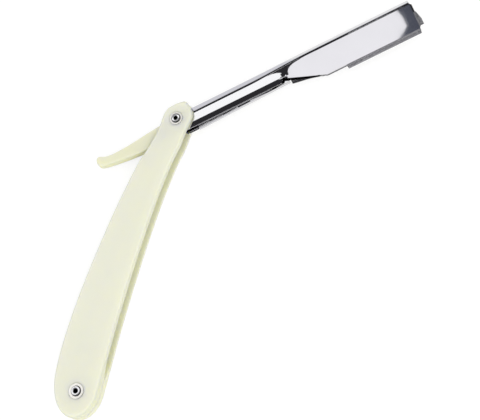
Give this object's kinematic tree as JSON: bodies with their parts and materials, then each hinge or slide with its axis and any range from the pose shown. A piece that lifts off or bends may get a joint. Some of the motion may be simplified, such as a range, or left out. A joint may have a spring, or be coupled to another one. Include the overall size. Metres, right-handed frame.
{
  "type": "straight razor",
  "caption": "Folding straight razor with a replaceable half blade, plastic scales, a folded polished-metal sheath and a plastic thumb tang, shown opened.",
  "frame": {"origin": "on the pivot's axis, in the plane of the back scale's outer face", "axes": "+Z from the back scale to the front scale, along the pivot; +Y along the handle from the end rivet to the pivot; the arm opens towards +X"},
  "size_m": [0.135, 0.2333, 0.0103],
  "materials": {
    "cream_plastic": "smooth moulded plastic with a soft shine",
    "polished_chrome": "mirror-polished plating on folded sheet steel",
    "blade_steel": "ground blade steel"
  },
  "bodies": {
    "handle": {"front_scale": "cream_plastic", "back_scale": "cream_plastic", "pivot_rivet": "polished_chrome", "pivot_collar": "polished_chrome", "pivot_washer_front": "polished_chrome", "pivot_washer_back": "polished_chrome", "end_rivet": "polished_chrome", "end_collar": "polished_chrome"},
    "arm": {"blade_sheath": "polished_chrome", "tang": "cream_plastic", "tang_pin": "polished_chrome"},
    "carrier": {"blade_carrier": "polished_chrome", "blade_peg_inner": "polished_chrome", "blade_peg_outer": "polished_chrome", "blade": "blade_steel"}
  },
  "joints": [
    {"name": "arm_fold", "type": "hinge", "parent": "handle", "child": "arm", "pos_m": [0, 0, 0.0048], "axis": [0, 0, 1], "range_deg": [-131.4, 138.6]},
    {"name": "carrier_swing", "type": "hinge", "parent": "arm", "child": "carrier", "pos_m": [0, 0, 0.0048], "axis": [0, 0, -1], "range_deg": [0, 25]}
  ]
}
